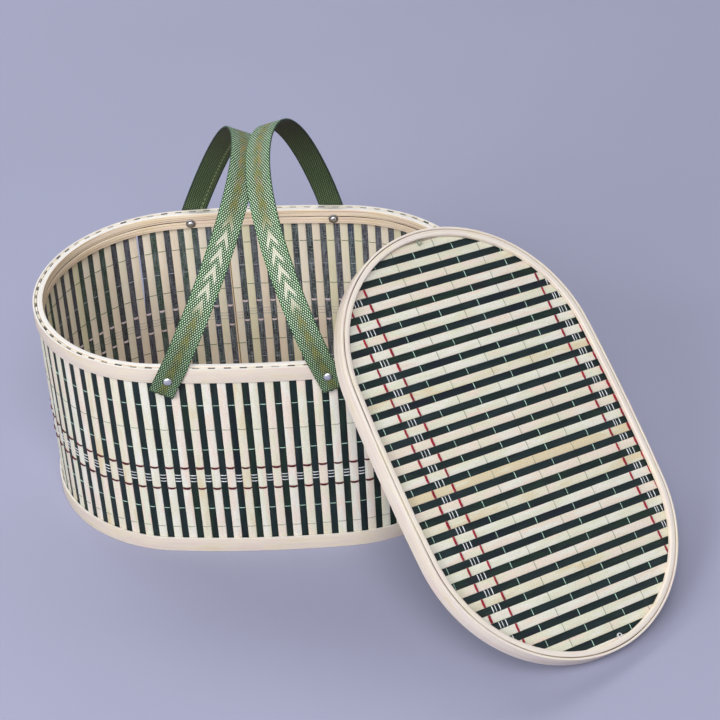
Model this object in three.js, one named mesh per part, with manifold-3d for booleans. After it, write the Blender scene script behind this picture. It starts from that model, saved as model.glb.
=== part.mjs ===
// An oval basket of bamboo slats with two webbing handles and a loose lid.
// Millimetres, +Z up. The origin is the middle of the basket's underside, +X runs along its length
// and -Y is its front. The lid leans on the rim at the front right, as it does when it is taken off.

import * as THREE from 'three';
import Module from 'manifold-3d';
import { mergeVertices } from 'three/addons/utils/BufferGeometryUtils.js';

const wasm = await Module();
wasm.setup();

// Body of the basket, outside of its bands
const basketHalfLength = 165;
const basketHalfWidth = 110.4;
const basketSideBow = 2.65;
const basketHeight = 166.6;

// Slat mats: a cream and a dark slat make one repeat
const creamSlatWidth = 6;
const darkSlatWidth = 4.77;
const slatGap = 0.2;
const slatThickness = 1.3;
const darkSlatStep = 0.35;
const slatWebThickness = 0.4;
const seamPastBackMiddle = 25.75;

// Bands bent round the outside, strips bent round the inside
const bandThickness = 1.5;
const topBandHeight = 11.8;
const bottomBandHeight = 12.3;
const rimStripThickness = 4;
const rimStripHeight = 6.2;
const footStripThickness = 3;
const footStripHeight = 9;
const stripRounding = 0.7;
const basePanelThickness = 3;
const seatGap = 0.3;

// Webbing handles, each hung on a front and a back rivet
const rivetHalfSpread = 56.2;
const rivetDrop = 7.9;
const strapWidth = 18.4;
const strapThickness = 1.5;
const strapEndLength = 12;
const strapLegRise = 12;
const handleCrest = 130;
const handlePassGap = 0.5;
const leftLeanFront = THREE.MathUtils.degToRad(26.8);
const leftLeanBack = THREE.MathUtils.degToRad(22.2);
const rightLeanFront = THREE.MathUtils.degToRad(21.4);
const rightLeanBack = THREE.MathUtils.degToRad(14.8);

// Rivets and the washers that they are closed over inside the rim
const rivetHeadRadius = 3.1;
const rivetHeadHeight = 1.8;
const rivetShankRadius = 1.5;
const rivetTailRadius = 2.3;
const rivetTailHeight = 1.1;
const rivetEdge = 0.3;
const rivetClearance = 0.3;
const washerRadius = 3.7;
const washerThickness = 0.8;
const cutOverrun = 2;

// Lid: a mat held between two rings inside a band
const lidHalfLength = 164.4;
const lidHalfWidth = 106.2;
const lidSideBow = 1.2;
const lidBandHeight = 14.5;
const lidBandThickness = 1.6;
const lidSlatPitch = 11.59;
const lidCreamSlatWidth = 6.1;
const lidSlatThickness = 1.5;
const lidSlatShift = 8.4;
const lidMatDrop = 4.5;
const lidRingWidth = 4.4;
const lidLowerRingHeight = 7.6;

// How the lid leans: the way it faces, its tilt from level, its turn in its own plane
const lidFacing = THREE.MathUtils.degToRad(-45.9);
const lidTilt = THREE.MathUtils.degToRad(39.4);
const lidTurn = THREE.MathUtils.degToRad(-11.8);
const lidAlong = 42.8;

// How finely the curves are stepped
const hoopSteps = 76;
const archSteps = 40;
const roundSteps = 16;
const domeSteps = 4;

const slatPitch = creamSlatWidth + darkSlatWidth + 2 * slatGap;
const matInset = bandThickness + seatGap;
const rimStripInset = matInset + slatThickness + seatGap;
const rivetHeight = basketHeight - rivetDrop;

// Finishes
const paleBamboo = { color: 0xe8dcc4, roughness: 0.62, metalness: 0 };
const slatBamboo = { color: 0xd9cba6, roughness: 0.55, metalness: 0 };
const innerBamboo = { color: 0xdcc8a2, roughness: 0.6, metalness: 0 };
const board = { color: 0xcdb48a, roughness: 0.7, metalness: 0 };
const webbing = { color: 0x4c7640, roughness: 0.85, metalness: 0 };
const steel = { color: 0xb9bdc2, roughness: 0.3, metalness: 1 };

// An oval of four arcs that meet smoothly. A place on it is given by how far its outward normal
// has turned from the front, and every inset keeps the same centres, so insets run parallel.
function makeOval(halfLength, halfWidth, bow) {
  const endRadius = halfWidth - bow;
  const endCentre = halfLength - endRadius;
  const sideCentre = (endCentre ** 2 - bow ** 2) / (2 * bow);
  const sideRadius = halfWidth + sideCentre;
  const sideTurn = Math.atan2(endCentre, sideCentre);
  const arcs = [
    { until: sideTurn, radius: sideRadius, x: 0, y: sideCentre },
    { until: Math.PI - sideTurn, radius: endRadius, x: endCentre, y: 0 },
    { until: Math.PI + sideTurn, radius: sideRadius, x: 0, y: -sideCentre },
    { until: 2 * Math.PI - sideTurn, radius: endRadius, x: -endCentre, y: 0 },
    { until: 2 * Math.PI, radius: sideRadius, x: 0, y: sideCentre },
  ];

  function pointAt(turn, inset) {
    const whole = THREE.MathUtils.euclideanModulo(turn, 2 * Math.PI);
    const arc = arcs.find((each) => whole <= each.until);
    const reach = arc.radius - inset;
    return new THREE.Vector2(arc.x + reach * Math.sin(whole), arc.y - reach * Math.cos(whole));
  }

  function girth(inset) {
    return 4 * sideTurn * (sideRadius - inset) + 2 * (Math.PI - 2 * sideTurn) * (endRadius - inset);
  }

  // The turn reached after a run of outline, measured from the front middle towards +X
  function turnAt(run, inset) {
    let left = THREE.MathUtils.euclideanModulo(run, girth(inset));
    let from = 0;
    for (const arc of arcs) {
      const reach = arc.radius - inset;
      const length = (arc.until - from) * reach;
      if (left <= length) return from + left / reach;
      left -= length;
      from = arc.until;
    }
    return 2 * Math.PI;
  }

  // How far the front wall stands from the length axis at a place along it
  function sideReach(x, inset) {
    return Math.sqrt((sideRadius - inset) ** 2 - x ** 2) - sideCentre;
  }

  function turns(steps) {
    return Array.from({ length: steps }, (_, i) => turnAt((i * girth(0)) / steps, 0));
  }

  return { pointAt, girth, turnAt, sideReach, turns };
}

// Booleans work on closed meshes whose corners are shared
function bare(geometry) {
  const plain = geometry.clone();
  plain.deleteAttribute('normal');
  plain.deleteAttribute('uv');
  return mergeVertices(plain);
}

function toSolid(geometry) {
  const merged = bare(geometry);
  const vertProperties = new Float32Array(merged.attributes.position.array);
  const triVerts = new Uint32Array(merged.index.array);
  return new wasm.Manifold(new wasm.Mesh({ numProp: 3, vertProperties, triVerts }));
}

function toGeometry(solid) {
  const result = solid.getMesh();
  const geometry = new THREE.BufferGeometry();
  geometry.setAttribute('position', new THREE.BufferAttribute(new Float32Array(result.vertProperties), 3));
  geometry.setIndex(new THREE.BufferAttribute(new Uint32Array(result.triVerts), 1));
  geometry.computeVertexNormals();
  return geometry;
}

function cut(geometry, tools) {
  const start = toSolid(geometry);
  return toGeometry(tools.reduce((solid, tool) => solid.subtract(toSolid(tool)), start));
}

// A strip of wood bent round an oval: its outside lies an inset within the oval's own line
function hoop(oval, inset, thickness, bottom, height, rounding = 0) {
  const turns = oval.turns(hoopSteps);
  const outline = new THREE.Shape(turns.map((turn) => oval.pointAt(turn, inset)));
  outline.holes.push(new THREE.Path(turns.map((turn) => oval.pointAt(turn, inset + thickness))));
  const geometry = new THREE.ExtrudeGeometry(outline, {
    depth: height - 2 * rounding,
    bevelEnabled: rounding > 0,
    bevelThickness: rounding,
    bevelSize: rounding,
    bevelOffset: -rounding,
    bevelSegments: 1,
  });
  return geometry.translate(0, 0, bottom + rounding);
}

// The slats of the wall in order round it, from the seam at the back where the mat laps over itself
function wallSlats(oval) {
  const girth = oval.girth(matInset);
  const repeats = Math.floor(girth / slatPitch);
  const spare = girth - repeats * slatPitch;
  const seam = girth / 2 + seamPastBackMiddle;
  const slats = [{ start: seam - (creamSlatWidth + spare) / 2, width: creamSlatWidth + spare, dark: false }];
  for (let i = 0; i < repeats; i += 1) {
    const last = slats[slats.length - 1];
    const dark = { start: last.start + last.width + slatGap, width: darkSlatWidth, dark: true };
    slats.push(dark);
    if (i < repeats - 1) {
      const start = dark.start + dark.width + slatGap;
      slats.push({ start, width: creamSlatWidth, dark: false });
    }
  }
  return slats;
}

// One face of the wall mat: the dark slats lie back from the cream ones, and a thin web of threads
// closes the gap between two slats
function matFace(oval, slats, side) {
  const middle = slatThickness / 2;
  const points = [];
  for (const slat of slats) {
    const face = middle - (slat.dark ? darkSlatStep : 0);
    for (const run of [slat.start, slat.start + slat.width]) {
      points.push(oval.pointAt(oval.turnAt(run, matInset), matInset + middle - side * face));
    }
    const gap = slat.start + slat.width + slatGap / 2;
    const web = matInset + middle - (side * slatWebThickness) / 2;
    points.push(oval.pointAt(oval.turnAt(gap, matInset), web));
  }
  return points;
}

function wallMat(oval) {
  const slats = wallSlats(oval);
  const outline = new THREE.Shape(matFace(oval, slats, 1));
  outline.holes.push(new THREE.Path(matFace(oval, slats, -1)));
  return new THREE.ExtrudeGeometry(outline, { depth: basketHeight, bevelEnabled: false });
}

// A flat sheet with the oval's outline
function panel(oval, inset, bottom, thickness) {
  const outline = new THREE.Shape(oval.turns(hoopSteps).map((turn) => oval.pointAt(turn, inset)));
  const geometry = new THREE.ExtrudeGeometry(outline, { depth: thickness, bevelEnabled: false });
  return geometry.translate(0, 0, bottom);
}

// The lid's mat: slats laid across the lid, cut to its outline
function lidMat(oval, inset) {
  const darkWidth = lidSlatPitch - lidCreamSlatWidth - 2 * slatGap;
  const half = lidSlatThickness / 2;
  const reach = Math.ceil(lidHalfLength / lidSlatPitch) + 1;
  const upper = [];
  for (let i = -reach; i <= reach; i += 1) {
    const cream = lidSlatShift + i * lidSlatPitch;
    const edges = [
      { x: cream - lidCreamSlatWidth / 2, face: half },
      { x: cream + lidCreamSlatWidth / 2, face: half },
      { x: cream + (lidCreamSlatWidth + slatGap) / 2, face: slatWebThickness / 2 },
      { x: cream + lidCreamSlatWidth / 2 + slatGap, face: half - darkSlatStep },
      { x: cream + lidCreamSlatWidth / 2 + slatGap + darkWidth, face: half - darkSlatStep },
      { x: cream + lidSlatPitch - (lidCreamSlatWidth + slatGap) / 2, face: slatWebThickness / 2 },
    ];
    upper.push(...edges);
  }
  const top = upper.map((edge) => new THREE.Vector2(edge.x, edge.face));
  const bottom = upper.map((edge) => new THREE.Vector2(edge.x, -edge.face)).reverse();
  const section = new THREE.Shape([...top, ...bottom]);
  const slats = new THREE.ExtrudeGeometry(section, { depth: 2 * lidHalfWidth, bevelEnabled: false });
  slats.rotateX(Math.PI / 2);
  slats.translate(0, lidHalfWidth, -lidMatDrop - half);
  const blank = panel(oval, inset, -lidMatDrop - lidSlatThickness - cutOverrun, lidSlatThickness + 2 * cutOverrun);
  return toGeometry(toSolid(slats).intersect(toSolid(blank)));
}

// A rod along Y, used as the cutter of a rivet's hole
function rivetBore(x, from, to) {
  const bore = new THREE.CylinderGeometry(
    rivetShankRadius + rivetClearance,
    rivetShankRadius + rivetClearance,
    to - from,
    roundSteps
  );
  return bore.translate(x, (from + to) / 2, rivetHeight);
}

function allRivetBores() {
  const depth = basketHalfWidth + cutOverrun;
  return [-rivetHalfSpread, rivetHalfSpread].map((x) => rivetBore(x, -depth, depth));
}

const basketOval = makeOval(basketHalfLength, basketHalfWidth, basketSideBow);
const lidOval = makeOval(lidHalfLength, lidHalfWidth, lidSideBow);

// The strap's end turns on its rivet, so its leg stands clear of the wall all along that end's sweep
const strapEndSweep = Math.hypot(strapEndLength, strapWidth / 2);
const strapInnerReach = basketOval.sideReach(rivetHalfSpread - strapEndSweep, 0) + seatGap;
const strapLegReach = strapInnerReach + strapThickness / 2;
const rivetHeadReach = strapInnerReach + strapThickness + seatGap;
const washerReach = basketOval.sideReach(rivetHalfSpread + washerRadius, rimStripInset + rimStripThickness) - seatGap;
const rivetTailReach = washerReach - washerThickness - seatGap;

// Seen from the side, a handle is two straight legs and an arch. The line is its middle, and each
// point keeps the direction that the strap's outer face looks in.
function archLine(crest, tuck) {
  const line = [];
  const place = (y, z) => line.push(new THREE.Vector2(y, z));
  place(-strapLegReach, -strapEndLength);
  for (let i = 0; i <= archSteps; i += 1) {
    const swing = (Math.PI * i) / archSteps;
    const y = -(strapLegReach - tuck * Math.sin(swing)) * Math.cos(swing);
    place(y, strapLegRise + (crest - strapLegRise) * Math.max(Math.sin(swing), 0) ** (4 / 3));
  }
  place(strapLegReach, -strapEndLength);
  return line;
}

function offsetLine(line, distance) {
  return line.map((point, i) => {
    const before = line[Math.max(i - 1, 0)];
    const after = line[Math.min(i + 1, line.length - 1)];
    const along = after.clone().sub(before).normalize();
    return new THREE.Vector2(point.x - along.y * distance, point.y + along.x * distance);
  });
}

// One strap, in the frame of its rivets: the arch is drawn from the side, given its width, and leant
// towards the other handle by an angle that eases from the front leg to the back one
function handleStrap(side, leanFront, leanBack, tuck) {
  const line = archLine(handleCrest - tuck, tuck);
  const outer = offsetLine(line, strapThickness / 2);
  const inner = offsetLine(line, -strapThickness / 2);
  const section = new THREE.Shape([...outer, ...inner.reverse()]);
  const strap = new THREE.ExtrudeGeometry(section, { depth: strapWidth, bevelEnabled: false });
  const position = strap.attributes.position;
  for (let i = 0; i < position.count; i += 1) {
    const y = position.getX(i);
    const z = position.getY(i);
    const across = position.getZ(i) - strapWidth / 2;
    const lean = THREE.MathUtils.lerp(leanFront, leanBack, THREE.MathUtils.smoothstep(y, -strapLegReach, strapLegReach));
    const x = across * Math.cos(lean) - side * z * Math.tan(lean);
    position.setXYZ(i, x, y, z + side * across * Math.sin(lean));
  }
  const bore = new THREE.CylinderGeometry(
    rivetShankRadius + rivetClearance,
    rivetShankRadius + rivetClearance,
    2 * (strapLegReach + cutOverrun),
    roundSteps
  );
  return cut(strap, [bore]);
}

// A rivet about Y with its domed head outside and its closed tail inside the rim
function rivetGeometry() {
  const head = rivetHeadReach;
  const tail = rivetTailReach;
  const profile = [new THREE.Vector2(0, tail - rivetTailHeight)];
  profile.push(new THREE.Vector2(rivetTailRadius - rivetEdge, tail - rivetTailHeight));
  profile.push(new THREE.Vector2(rivetTailRadius, tail - rivetTailHeight + rivetEdge));
  profile.push(new THREE.Vector2(rivetTailRadius, tail));
  profile.push(new THREE.Vector2(rivetShankRadius, tail));
  profile.push(new THREE.Vector2(rivetShankRadius, head));
  profile.push(new THREE.Vector2(rivetHeadRadius, head));
  for (let i = 0; i < domeSteps; i += 1) {
    const rise = (Math.PI / 2) * (i / domeSteps);
    const height = head + rivetEdge + (rivetHeadHeight - rivetEdge) * Math.sin(rise);
    profile.push(new THREE.Vector2(rivetHeadRadius * Math.cos(rise), height));
  }
  profile.push(new THREE.Vector2(0, head + rivetHeadHeight));
  return new THREE.LatheGeometry(profile, roundSteps);
}

function washerGeometry() {
  const bore = rivetShankRadius + rivetClearance;
  const near = washerReach - washerThickness;
  const profile = [
    new THREE.Vector2(bore, near),
    new THREE.Vector2(washerRadius - rivetEdge, near),
    new THREE.Vector2(washerRadius, near + rivetEdge),
    new THREE.Vector2(washerRadius, washerReach),
    new THREE.Vector2(bore, washerReach),
    new THREE.Vector2(bore, near),
  ];
  return new THREE.LatheGeometry(profile, roundSteps);
}

const model = new THREE.Group();

function addPart(group, name, geometry, finish) {
  const mesh = new THREE.Mesh(geometry, new THREE.MeshStandardMaterial(finish));
  mesh.name = name;
  group.add(mesh);
  return mesh;
}

// Wall, bands, strips and base of the basket
function buildTub() {
  const tub = new THREE.Group();
  const topBandBottom = basketHeight - topBandHeight;
  const upperStripBottom = basketHeight - rimStripHeight;
  const lowerStripBottom = upperStripBottom - seatGap - rimStripHeight;
  const footStripBottom = basePanelThickness + seatGap;
  const bores = allRivetBores();
  const rimStrip = (bottom, rounding) =>
    cut(hoop(basketOval, rimStripInset, rimStripThickness, bottom, rimStripHeight, rounding), bores);
  addPart(tub, 'wall_slat_mat', cut(wallMat(basketOval), bores), slatBamboo);
  addPart(tub, 'top_outer_band', cut(hoop(basketOval, 0, bandThickness, topBandBottom, topBandHeight), bores), paleBamboo);
  addPart(tub, 'rim_inner_strip_upper', rimStrip(upperStripBottom, stripRounding), innerBamboo);
  addPart(tub, 'rim_inner_strip_lower', rimStrip(lowerStripBottom, 0), innerBamboo);
  addPart(tub, 'bottom_outer_band', hoop(basketOval, 0, bandThickness, 0, bottomBandHeight), paleBamboo);
  addPart(
    tub,
    'bottom_inner_strip',
    hoop(basketOval, rimStripInset, footStripThickness, footStripBottom, footStripHeight),
    innerBamboo
  );
  addPart(tub, 'base_panel', panel(basketOval, rimStripInset, 0, basePanelThickness), board);
  return tub;
}

// A rivet and its washer at each end of each handle
function buildRivets() {
  const rivets = new THREE.Group();
  for (const [sideName, side] of [['left', -1], ['right', 1]]) {
    for (const [endName, quarterTurns] of [['front', 2], ['back', 0]]) {
      const place = new THREE.Group();
      place.position.set(side * rivetHalfSpread, 0, rivetHeight);
      place.rotation.z = (quarterTurns * Math.PI) / 2;
      addPart(place, `${sideName}_${endName}_rivet`, rivetGeometry(), steel);
      addPart(place, `${sideName}_${endName}_washer`, washerGeometry(), steel);
      rivets.add(place);
    }
  }
  return rivets;
}

// The two handles lean together and the left one passes under the right one
function buildHandles() {
  const handles = new THREE.Group();
  const rightLean = (rightLeanFront + rightLeanBack) / 2;
  const underpass = strapThickness + handlePassGap + (strapWidth / 2) * Math.sin(rightLean);
  const left = handleStrap(-1, leftLeanFront, leftLeanBack, underpass);
  const right = handleStrap(1, rightLeanFront, rightLeanBack, 0);
  addPart(handles, 'left_handle_strap', left, webbing).position.set(-rivetHalfSpread, 0, rivetHeight);
  addPart(handles, 'right_handle_strap', right, webbing).position.set(rivetHalfSpread, 0, rivetHeight);
  return handles;
}

// The lid in its own frame, face up, with the top edge of its band at height zero
function buildLid() {
  const lid = new THREE.Group();
  const inset = lidBandThickness + seatGap;
  const matBottom = -lidMatDrop - lidSlatThickness;
  const upperRingHeight = lidMatDrop - seatGap;
  const lowerRingTop = matBottom - seatGap;
  addPart(lid, 'lid_outer_band', hoop(lidOval, 0, lidBandThickness, -lidBandHeight, lidBandHeight), paleBamboo);
  addPart(
    lid,
    'lid_upper_ring',
    hoop(lidOval, inset, lidRingWidth, -upperRingHeight, upperRingHeight, stripRounding),
    paleBamboo
  );
  addPart(
    lid,
    'lid_lower_ring',
    hoop(lidOval, inset, lidRingWidth, lowerRingTop - lidLowerRingHeight, lidLowerRingHeight),
    innerBamboo
  );
  addPart(lid, 'lid_slat_mat', lidMat(lidOval, inset), slatBamboo);
  return lid;
}

// Leans the lid so that the underside of its mat rests on the basket's rim and the lower edge of
// its band rests on the floor
function leanLid(lid) {
  const facing = new THREE.Vector3(
    Math.sin(lidTilt) * Math.cos(lidFacing),
    Math.sin(lidTilt) * Math.sin(lidFacing),
    Math.cos(lidTilt)
  );
  const level = new THREE.Vector3(-Math.sin(lidFacing), Math.cos(lidFacing), 0);
  const downhill = level.clone().cross(facing);
  const long = downhill.clone().multiplyScalar(Math.cos(lidTurn)).addScaledVector(level, Math.sin(lidTurn));
  const across = facing.clone().cross(long);

  const rimPoint = basketOval.pointAt(Math.atan2(facing.x, -facing.y), 0);
  const rimReach = facing.dot(new THREE.Vector3(rimPoint.x, rimPoint.y, basketHeight));
  const outward = rimReach + seatGap + lidMatDrop + lidSlatThickness;

  const footPoint = lidOval.pointAt(Math.atan2(-long.z, across.z), 0);
  const height = lidBandHeight * facing.z - footPoint.x * long.z - footPoint.y * across.z;
  const slide = (height - outward * facing.z) / downhill.z;

  lid.setRotationFromMatrix(new THREE.Matrix4().makeBasis(long, across, facing));
  lid.position.copy(level.multiplyScalar(lidAlong));
  lid.position.addScaledVector(downhill, slide);
  lid.position.addScaledVector(facing, outward);
}

const lid = buildLid();
leanLid(lid);
model.add(buildTub(), buildRivets(), buildHandles(), lid);

export default model;
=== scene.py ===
import math
import random
from bisect import bisect_right
from itertools import accumulate

import bmesh
import bpy
from bpy.props import FloatProperty, FloatVectorProperty, PointerProperty
from bpy.types import Operator, Panel, PropertyGroup
from mathutils import Matrix, Vector


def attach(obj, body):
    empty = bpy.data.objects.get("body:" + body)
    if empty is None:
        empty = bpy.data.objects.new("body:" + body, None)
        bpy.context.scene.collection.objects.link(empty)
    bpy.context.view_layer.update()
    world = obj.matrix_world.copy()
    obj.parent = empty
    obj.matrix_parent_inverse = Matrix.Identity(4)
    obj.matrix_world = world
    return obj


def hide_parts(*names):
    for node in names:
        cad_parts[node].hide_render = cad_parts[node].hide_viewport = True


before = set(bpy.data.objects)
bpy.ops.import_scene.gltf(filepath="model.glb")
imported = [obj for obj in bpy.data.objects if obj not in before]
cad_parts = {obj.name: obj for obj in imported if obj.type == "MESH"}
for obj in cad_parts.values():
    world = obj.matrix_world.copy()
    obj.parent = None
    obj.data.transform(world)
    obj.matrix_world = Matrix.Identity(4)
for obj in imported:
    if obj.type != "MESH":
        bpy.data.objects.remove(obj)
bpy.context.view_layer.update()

bl_info = {
    "name": "Slatted basket",
    "version": (1, 0, 0),
    "blender": (4, 5, 0),
    "location": "View3D > Sidebar > Basket",
    "description": "Dresses an oval bamboo basket with its handles and its loose lid",
    "category": "Add Mesh",
}

MM = 0.001


def tone(code):
    """A colour written as six hex digits, as the linear numbers that a shader takes."""
    parts = [int(code[i : i + 2], 16) / 255 for i in (0, 2, 4)]
    return tuple(p / 12.92 if p <= 0.04045 else ((p + 0.055) / 1.055) ** 2.4 for p in parts)


def length(name, description, default):
    return FloatProperty(
        name=name, description=description, default=default, unit="LENGTH", precision=5
    )


def angle(name, description, degrees):
    default = math.radians(degrees)
    return FloatProperty(name=name, description=description, default=default, subtype="ANGLE")


def colour(name, description, code):
    return FloatVectorProperty(
        name=name, description=description, default=tone(code), subtype="COLOR", size=3, min=0, max=1
    )


class BasketSizes(PropertyGroup):
    """Sizes of the basket's body."""

    half_length: length("Half length", "Half of the basket's length over its bands", 0.165)
    half_width: length("Half width", "Half of the basket's width over its bands", 0.1104)
    side_bow: length("Side bow", "How far the long sides bow out", 0.00265)
    height: length("Height", "Height of the wall", 0.1666)
    band_thickness: length("Band thickness", "Thickness of the outer bands", 0.0015)
    top_band_height: length("Top band height", "Height of the band round the rim", 0.0118)
    bottom_band_height: length("Bottom band height", "Height of the band round the foot", 0.0123)
    strip_thickness: length("Rim strip thickness", "Thickness of the strips inside the rim", 0.004)
    strip_height: length("Rim strip height", "Height of each strip inside the rim", 0.0062)
    foot_thickness: length("Foot strip thickness", "Thickness of the strip inside the foot", 0.003)
    foot_height: length("Foot strip height", "Height of the strip inside the foot", 0.009)
    panel_thickness: length("Base thickness", "Thickness of the base panel", 0.003)
    seat_gap: length("Seat gap", "Gap between two pieces that touch", 0.0003)


class SlatSizes(PropertyGroup):
    """Sizes of the slats in the wall."""

    cream_width: length("Cream slat", "Width of a cream slat", 0.0060)
    dark_width: length("Dark slat", "Width of a dark slat", 0.00477)
    gap: length("Gap", "Gap between two slats", 0.0002)
    thickness: length("Thickness", "Thickness of a slat", 0.0013)
    dark_step: length("Dark step", "How far the dark slats lie back", 0.00035)
    seam_past_back: length("Seam place", "From the back's middle to the mat's lap", 0.02575)


class HandleSizes(PropertyGroup):
    """Sizes of the two webbing handles and of their rivets."""

    rivet_spread: length("Rivet spread", "From the basket's middle to a rivet, along it", 0.0562)
    rivet_drop: length("Rivet drop", "From the rim down to a rivet", 0.0079)
    width: length("Width", "Width of the webbing", 0.0184)
    thickness: length("Thickness", "Thickness of the webbing", 0.0015)
    end: length("End", "Webbing below a rivet", 0.012)
    rise: length("Straight rise", "Straight webbing above a rivet", 0.012)
    crest: length("Crest", "Height of the arch above its rivets", 0.130)
    pass_gap: length("Passing gap", "Gap where one handle passes under the other", 0.0005)
    left_front: angle("Left lean, front", "Lean of the left handle's front leg", 26.8)
    left_back: angle("Left lean, back", "Lean of the left handle's back leg", 22.2)
    right_front: angle("Right lean, front", "Lean of the right handle's front leg", 21.4)
    right_back: angle("Right lean, back", "Lean of the right handle's back leg", 14.8)
    head_radius: length("Rivet head radius", "Radius of a rivet's head", 0.0031)
    head_height: length("Rivet head height", "Height of a rivet's head", 0.0018)
    washer_radius: length("Washer radius", "Radius of a washer", 0.0037)
    washer_thickness: length("Washer thickness", "Thickness of a washer", 0.0008)


class LidSizes(PropertyGroup):
    """Sizes of the lid and how it leans."""

    half_length: length("Half length", "Half of the lid's length", 0.1644)
    half_width: length("Half width", "Half of the lid's width", 0.1062)
    side_bow: length("Side bow", "How far the lid's long sides bow out", 0.0012)
    band_height: length("Band height", "Height of the band round the lid", 0.0145)
    band_thickness: length("Band thickness", "Thickness of the band round the lid", 0.0016)
    pitch: length("Slat pitch", "From one cream slat to the next", 0.01159)
    cream_width: length("Cream slat", "Width of a cream slat", 0.0061)
    thickness: length("Slat thickness", "Thickness of a slat", 0.0015)
    shift: length("Slat shift", "From the lid's middle to a cream slat", 0.0084)
    drop: length("Mat drop", "How far the mat lies below the band's edge", 0.0045)
    tan_slat: length("Tan slat", "From the lid's middle to its one tan slat", 0.0200)
    ring_width: length("Ring width", "Width of the rings that hold the mat", 0.0044)
    ring_height: length("Lower ring height", "Height of the ring under the mat", 0.0076)
    facing: angle("Facing", "The way the leaning lid faces", -45.9)
    tilt: angle("Tilt", "How far the lid is tilted from level", 39.4)
    turn: angle("Turn", "How far the lid is turned in its own plane", -11.8)
    along: length("Along", "How far along the rim the lid leans", 0.0428)


class BasketColours(PropertyGroup):
    """Colours of the basket's finishes."""

    band: colour("Band", "Planed pale bamboo of the bands", "e6dac9")
    lid_band: colour("Lid band", "Planed pale bamboo of the lid", "f0e5d7")
    strip: colour("Rim strip", "Planed bamboo of the strips inside the rim", "fcebd8")
    cream: colour("Cream slat", "Skin side of a cream slat", "f3edde")
    cream_inner: colour("Cream slat, inside", "Pith side of a cream slat", "eee7d9")
    dark: colour("Dark slat", "Skin side of a dark slat", "192927")
    dark_inner: colour("Dark slat, inside", "Pith side of a dark slat", "4e5356")
    board: colour("Base", "Plywood of the base", "cdb48a")
    webbing_light: colour("Webbing, light", "Light yarn of the webbing", "d3f1c4")
    webbing_dark: colour("Webbing, dark", "Dark yarn of the webbing", "0c2c13")
    webbing_olive: colour("Webbing, olive", "Olive yarn up the middle of the webbing", "85863f")
    chevron: colour("Chevron", "Pale yarn of the chevrons", "f6f4dc")
    lining: colour("Lining", "Inner face of the webbing", "2c321b")
    steel: colour("Steel", "Rivets and washers", "e2e3e6")
    floor: colour("Floor", "Studio floor", "9fa1bb")


class Oval:
    """An oval of four arcs that meet smoothly. Its insets keep the same centres, so they run
    parallel. A turn is the way that its outline faces, counted from the front towards +X."""

    def __init__(self, half_length, half_width, bow):
        end = half_width - bow
        end_centre = half_length - end
        side_centre = (end_centre**2 - bow**2) / (2 * bow)
        side = half_width + side_centre
        turn = math.atan2(end_centre, side_centre)
        self.arcs = [
            (turn, side, Vector((0, side_centre))),
            (math.pi - turn, end, Vector((end_centre, 0))),
            (math.pi + turn, side, Vector((0, -side_centre))),
            (2 * math.pi - turn, end, Vector((-end_centre, 0))),
            (2 * math.pi, side, Vector((0, side_centre))),
        ]

    def point(self, turn, inset):
        turn %= 2 * math.pi
        _, radius, centre = next(arc for arc in self.arcs if turn <= arc[0])
        return centre + (radius - inset) * outward(turn)

    def stretches(self, inset):
        """Start, radius and length of each arc of an inset."""
        start = 0
        for until, radius, _ in self.arcs:
            yield start, radius - inset, (until - start) * (radius - inset)
            start = until

    def girth(self, inset):
        return sum(stretch for _, _, stretch in self.stretches(inset))

    def turn_at(self, run, inset):
        """The turn reached after a run of outline from the front's middle."""
        run %= self.girth(inset)
        for start, radius, stretch in self.stretches(inset):
            if run <= stretch:
                return start + run / radius
            run -= stretch
        return 2 * math.pi

    def spot(self, run, inset, depth=0.0):
        """The point reached after a run of an inset, at a depth inside it."""
        return self.point(self.turn_at(run, inset), inset + depth)

    def reach(self, x, inset):
        """How far a long side stands from the length axis at a place along it."""
        _, radius, centre = self.arcs[0]
        return math.sqrt((radius - inset) ** 2 - x**2) - centre.y


def outward(turn):
    return Vector((math.sin(turn), -math.cos(turn)))


# Making meshes


def bar(size, rounding, cuts, segments=3, loop=False):
    """A straight bar from the origin along x, with its long edges rounded and cut into stations.
    For a loop its two ends are left open, to meet once it is bent."""
    bm = bmesh.new()
    bmesh.ops.create_cube(bm, size=1)
    bmesh.ops.translate(bm, vec=(0.5, 0.5, 0.5), verts=bm.verts)
    bmesh.ops.scale(bm, vec=size, verts=bm.verts)
    long_edges = lengthwise(bm)
    bmesh.ops.bevel(
        bm, geom=long_edges, offset=rounding, segments=segments, profile=0.5,
        affect="EDGES", material=-1,
    )
    bmesh.ops.subdivide_edges(bm, edges=lengthwise(bm), cuts=cuts, use_grid_fill=True)
    if loop:
        caps = [face for face in bm.faces if abs(face.normal.x) > 0.5]
        bmesh.ops.delete(bm, geom=caps, context="FACES_ONLY")
    return bm


def lengthwise(bm):
    return [e for e in bm.edges if abs((e.verts[0].co - e.verts[1].co).normalized().x) > 0.9]


def lay_grain(bm, along, across, start=0.0):
    """Keeps each corner's place on the straight piece, in millimetres, for the grain to follow."""
    grain = bm.loops.layers.uv.new("grain")
    for face in bm.faces:
        for loop in face.loops:
            co = loop.vert.co
            loop[grain].uv = (along(co) / MM + start, across(co) / MM)


# How far up a face of a strip's top looks: its flat edge, its rounding, and where that begins
LEVEL, SLOPING, STEEP = 0.8, 0.5, 0.2


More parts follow.
